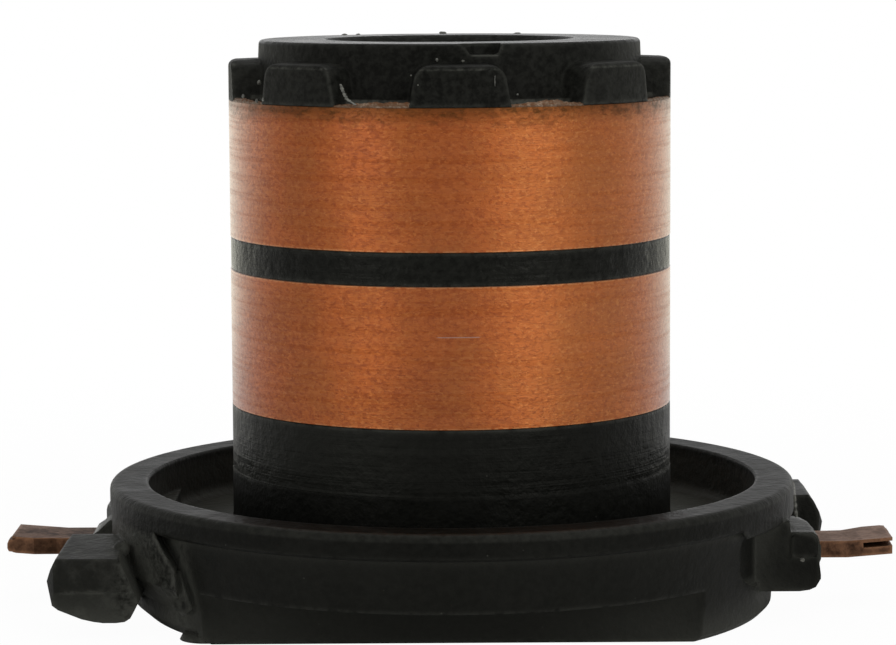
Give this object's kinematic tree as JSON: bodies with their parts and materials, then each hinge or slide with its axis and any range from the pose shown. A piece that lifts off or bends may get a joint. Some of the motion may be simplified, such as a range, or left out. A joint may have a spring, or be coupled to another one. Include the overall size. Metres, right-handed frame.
{
  "type": "alternator slip ring",
  "caption": "Copper slip rings on a black moulded barrel with a toothed crown, a moated flange, guide lugs and a hooked copper terminal on each side.",
  "frame": {"origin": "centre of the base on the bore's axis", "axes": "+Z along the bore towards the crown; +X towards the terminal of the upper ring, -X towards the terminal of the lower ring; the locating flats face -Y (the pictured side) and +Y"},
  "size_m": [0.0649, 0.05, 0.0411],
  "materials": {
    "phenolic": "black glass-filled phenolic moulding, satin, with turned bands on the barrel and a worn grey bloom on the rim",
    "ring_copper": null,
    "lead_copper": null
  },
  "bodies": {
    "root": {"insulator_body": "phenolic", "upper_ring": "ring_copper", "lower_ring": "ring_copper", "upper_lead": "lead_copper", "lower_lead": "lead_copper"}
  },
  "joints": []
}
